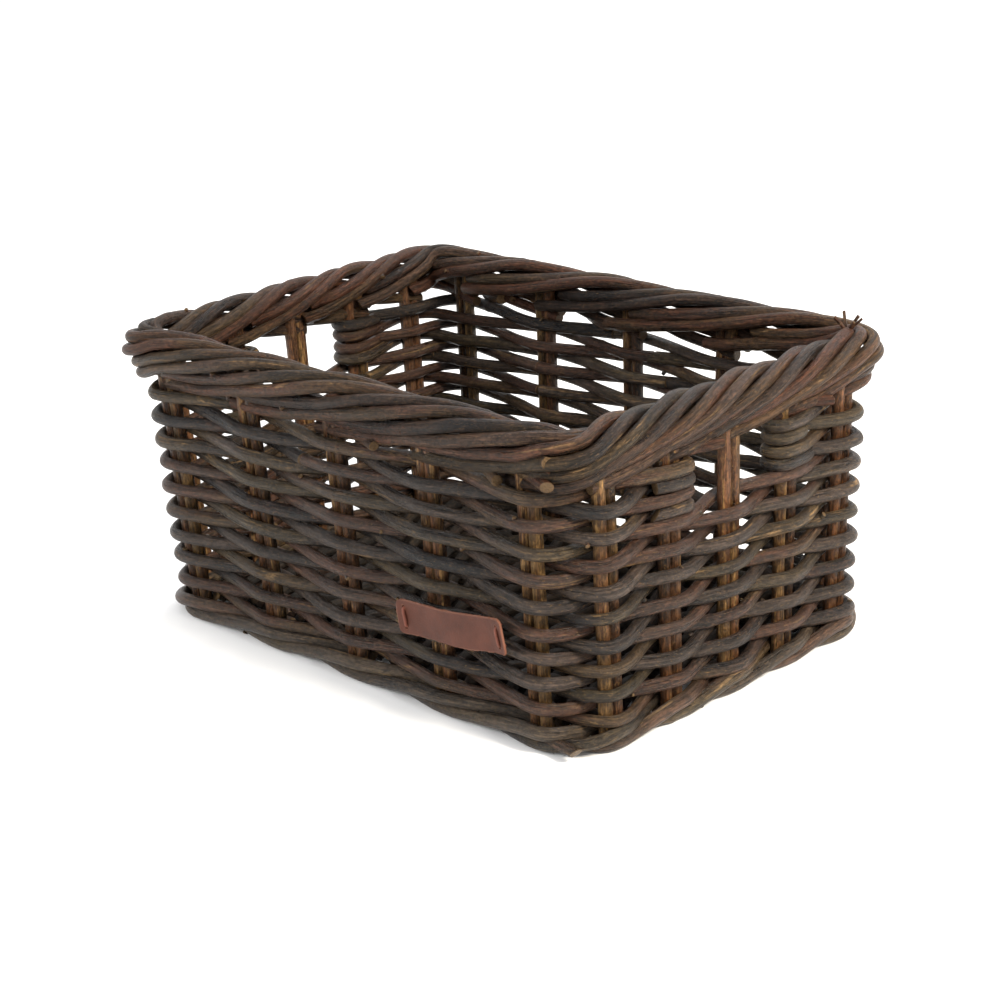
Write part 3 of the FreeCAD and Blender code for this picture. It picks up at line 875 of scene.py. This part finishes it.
def make_tag():
    length, tall, thick = TAG_LENGTH, TAG_HEIGHT, TAG_THICK
    across, down = 100, 26
    points, mark = [], []
    for face in (1, -1):
        for j in range(down + 1):
            for i in range(across + 1):
                a, b = 2 * i / across - 1, 2 * j / down - 1
                y = b * tall / 2
                over = max(0.0, abs(y) - (tall / 2 - TAG_CORNER))
                half = length / 2 - (TAG_CORNER - math.sqrt(max(0.0, TAG_CORNER ** 2 - over ** 2)))
                x = a * half
                edge = min(half - abs(x), tall / 2 - abs(y))
                rough = 0.3 * wobble((x, y, face), 2.2, 4) if edge < 0.01 else 0.0
                x += rough * np.sign(a) * (abs(a) > 0.99)
                y += rough * np.sign(b) * (abs(b) > 0.99)
                soft = min(1.0, edge / 1.1)
                z = face * thick / 2 * (0.45 + 0.55 * math.sqrt(max(0.0, 1 - (1 - soft) ** 2)))
                points.append((x, y, z))
                mark.append((0, 0, max(0.0, 1 - edge / 0.9), 1))
    layer = (across + 1) * (down + 1)
    faces = []
    for j in range(down):
        for i in range(across):
            a = j * (across + 1) + i
            quad = (a, a + 1, a + across + 2, a + across + 1)
            faces.append(quad)
            faces.append(tuple(layer + v for v in reversed(quad)))
    rim = list(range(across)) + [(j + 1) * (across + 1) - 1 for j in range(down)]
    rim += [down * (across + 1) + across - i for i in range(across)]
    rim += [(down - j) * (across + 1) for j in range(down)]
    for a, b in zip(rim, rim[1:] + rim[:1]):
        faces.append((a, layer + a, layer + b, b))
    mesh = bpy.data.meshes.new("leather_tag")
    mesh.from_pydata([tuple(v * MM for v in p) for p in points], [], faces)
    colour = mesh.attributes.new("mark", "FLOAT_COLOR", "POINT")
    colour.data.foreach_set("color", np.array(mark, np.float32).ravel())
    plain = bpy.data.objects.new("leather_tag_plain", mesh)
    bpy.context.scene.collection.objects.link(plain)
    cutters = []
    for x in (-1, 1):
        for y in (-1, 1):
            cutter = bpy.data.meshes.new("stitch_hole")
            turns = [k * 2 * math.pi / HOLE_SIDES for k in range(HOLE_SIDES)]
            ring = [(STITCH_HOLE / 2 * math.cos(turn), STITCH_HOLE / 2 * math.sin(turn)) for turn in turns]
            centre = (x * (length / 2 - STITCH_INSET), y * STITCH_REACH)
            verts = [((centre[0] + p) * MM, (centre[1] + q) * MM, h * MM) for h in (-4, 4) for p, q in ring]
            sides = [(k, (k + 1) % HOLE_SIDES, HOLE_SIDES + (k + 1) % HOLE_SIDES, HOLE_SIDES + k)
                     for k in range(HOLE_SIDES)]
            ends = [tuple(reversed(range(HOLE_SIDES))), tuple(range(HOLE_SIDES, 2 * HOLE_SIDES))]
            cutter.from_pydata(verts, [], sides + ends)
            hole = bpy.data.objects.new("stitch_hole", cutter)
            bpy.context.scene.collection.objects.link(hole)
            modifier = plain.modifiers.new("hole", "BOOLEAN")
            modifier.operation, modifier.object, modifier.solver = "DIFFERENCE", hole, "EXACT"
            cutters.append(hole)
    graph = bpy.context.evaluated_depsgraph_get()
    final = bpy.data.meshes.new_from_object(plain.evaluated_get(graph))
    for gone in cutters + [plain]:
        bpy.data.objects.remove(gone)
    straight = final.attributes.new("straight", "FLOAT_VECTOR", "POINT")
    straight.data.foreach_set("vector", np.array([tuple(v.co) for v in final.vertices], np.float32).ravel())
    for vertex in final.vertices:
        x, y, z = (c / MM for c in vertex.co)
        vertex.co = Vector(tag_place(x, y, z)) * MM
    final.polygons.foreach_set("use_smooth", np.ones(len(final.polygons), bool))
    final.set_sharp_from_angle(angle=math.radians(50))
    final.materials.clear()
    finished("leather_tag", final, TAG_LEATHER, "tag_leather")
    for name, side in (("tag_thong_left", -1), ("tag_thong_right", 1)):
        rng = np.random.default_rng(7100 + side)
        x = side * (length / 2 - STITCH_INSET)
        stops = [(x, -STITCH_REACH, -3.0), (x, -STITCH_REACH, 1.4), (x + 0.5, -STITCH_REACH + 2, 2.2),
                 (x + 0.9, 0, 2.3), (x - 0.2, STITCH_REACH - 2, 2.2), (x, STITCH_REACH, 1.4),
                 (x, STITCH_REACH, -3.0)]
        line = smoothed([tag_place(*stop) for stop in stops], 0.9)
        tubes = Tubes()
        tubes.add(resample(line, 0.6), THONG, rng, rod_tone(rng), knuckles=False, knobbly=2.5, sides=10)
        tubes.make(name, THONG_LEATHER, "thong_leather")


# --- the pieces -------------------------------------------------------------------------------------
for number in range(PAIRS):
    make_stakes(number)
for number in range(FULL_ROWS):
    make_full_row(number)
right_hole, left_hole = PAIRS_PER_WALL + MIDDLE, 3 * PAIRS_PER_WALL + MIDDLE
for number in range(FULL_ROWS, ALL_ROWS):
    make_turned_row(number, left_hole + 1 - PAIRS, right_hole - 1, "row_%02d_front" % (number + 1))
    make_turned_row(number, right_hole + 1, left_hole - 1, "row_%02d_back" % (number + 1))
for number in range(4):
    make_foot_wale(number)
    make_border(number)
make_base()
make_tag()

# --- floor, light and camera --------------------------------------------------------------------------
scene = bpy.context.scene
scene.view_settings.view_transform = "Standard"
scene.view_settings.look = "None"


def make_floor():
    mesh = bpy.data.meshes.new("floor")
    half = 15.0
    corners = [(-half, -half, 0), (half, -half, 0), (half, half, 0), (-half, half, 0)]
    mesh.from_pydata(corners, [], [(0, 1, 2, 3)])
    floor = bpy.data.objects.new("floor", mesh)
    scene.collection.objects.link(floor)
    n = Nodes("floor_paper")
    n.shader.inputs["Base Color"].default_value = (0.92, 0.92, 0.92, 1)
    n.shader.inputs["Roughness"].default_value = 0.9
    mesh.materials.append(n.material)


def area_light(name, place, aim, size, power, colour=(1, 1, 1)):
    data = bpy.data.lights.new(name, "AREA")
    data.shape, data.size, data.energy, data.color = "DISK", size, power, colour
    light = bpy.data.objects.new(name, data)
    scene.collection.objects.link(light)
    light.location = place
    light.rotation_mode = "QUATERNION"
    light.rotation_quaternion = (Vector(aim) - Vector(place)).to_track_quat("-Z", "Y")


make_floor()
area_light("key", (1.9, 0.1, 1.5), (0, 0, 0.1), 0.7, 98, (1, 0.92, 0.80))
area_light("fill", (-1.2, -2.1, 1.3), (0, 0, 0.1), 1.0, 38)
area_light("back", (-0.8, 1.9, 1.9), (0, 0, 0.1), 1.2, 30)
world = bpy.data.worlds.new("studio")
world.use_nodes = True
world.node_tree.nodes["Background"].inputs["Color"].default_value = (1, 1, 1, 1)
world.node_tree.nodes["Background"].inputs["Strength"].default_value = 1.05
scene.world = world

CAMERA_YAW = math.radians(136.79)
CAMERA_PITCH = math.radians(19.51)
CAMERA_ROLL = math.radians(-3.37)
CAMERA_PLACE = Vector((1.043, -0.979, 0.588))
ahead = Vector((math.cos(CAMERA_PITCH) * math.cos(CAMERA_YAW), math.cos(CAMERA_PITCH) * math.sin(CAMERA_YAW),
                -math.sin(CAMERA_PITCH)))
level = Vector((math.sin(CAMERA_YAW), -math.cos(CAMERA_YAW), 0))
above = level.cross(ahead)
right = level * math.cos(CAMERA_ROLL) + above * math.sin(CAMERA_ROLL)
upright = above * math.cos(CAMERA_ROLL) - level * math.sin(CAMERA_ROLL)
camera_data = bpy.data.cameras.new("camera")
camera_data.sensor_width = 36
camera_data.lens = 83.4
camera_data.clip_start, camera_data.clip_end = 0.05, 50
camera = bpy.data.objects.new("camera", camera_data)
scene.collection.objects.link(camera)
turn = Matrix((right, upright, -ahead)).transposed().to_4x4()
camera.matrix_world = Matrix.Translation(CAMERA_PLACE) @ turn
scene.camera = camera
